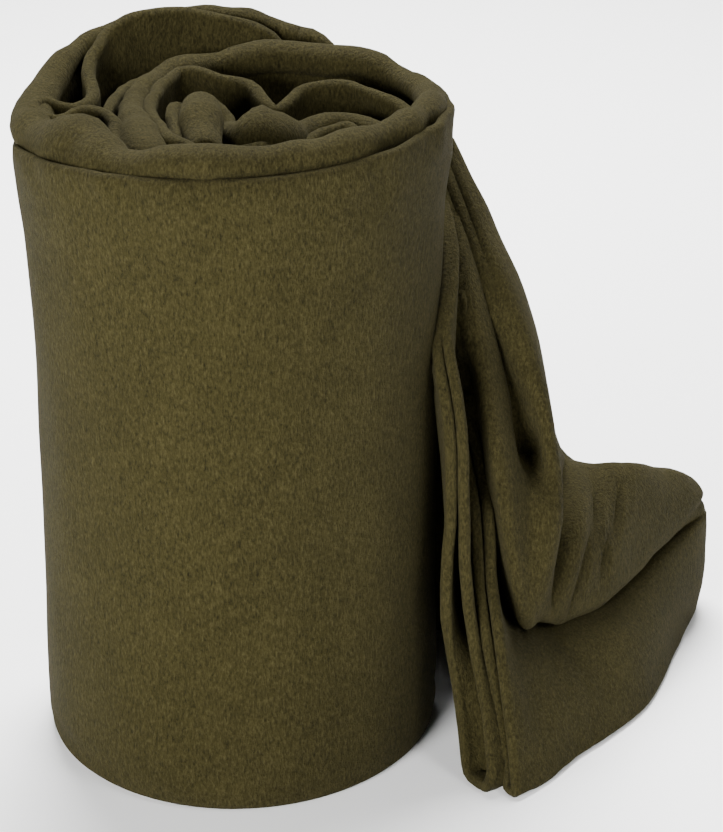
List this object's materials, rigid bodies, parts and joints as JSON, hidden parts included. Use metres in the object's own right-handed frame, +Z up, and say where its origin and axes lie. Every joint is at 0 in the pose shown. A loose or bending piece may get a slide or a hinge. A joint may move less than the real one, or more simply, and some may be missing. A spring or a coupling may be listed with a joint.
{
  "type": "rolled camp blanket",
  "caption": "Fleece camp blanket, folded into a strip and loosely rolled, standing on end with its loose end slumped beside it as a flap.",
  "frame": {"origin": "centre of the roll's underside, on the ground that it stands on", "axes": "+Z up along the roll's axis, +X from the roll towards the loose flap, +Y away from the side where the strip's end shows"},
  "size_m": [0.347, 0.2409, 0.3284],
  "materials": {
    "fleece": "matte"
  },
  "bodies": {
    "roll": {"outer_plies": "fleece", "inner_plies": "fleece", "second_turn": "fleece", "core_left": "fleece", "core_middle": "fleece", "core_right": "fleece"},
    "flap": {"flap_root": "fleece", "flap_back": "fleece", "floor_lobe": "fleece", "upper_lobe": "fleece", "shoulder_inner": "fleece", "shoulder_outer": "fleece", "end_fold_left": "fleece", "end_fold_right": "fleece"}
  },
  "joints": [
    {"name": "flap_swing", "type": "hinge", "parent": "roll", "child": "flap", "pos_m": [0.042, 0.089, 0], "axis": [0, 0, 1], "range_deg": [0, 15]}
  ]
}
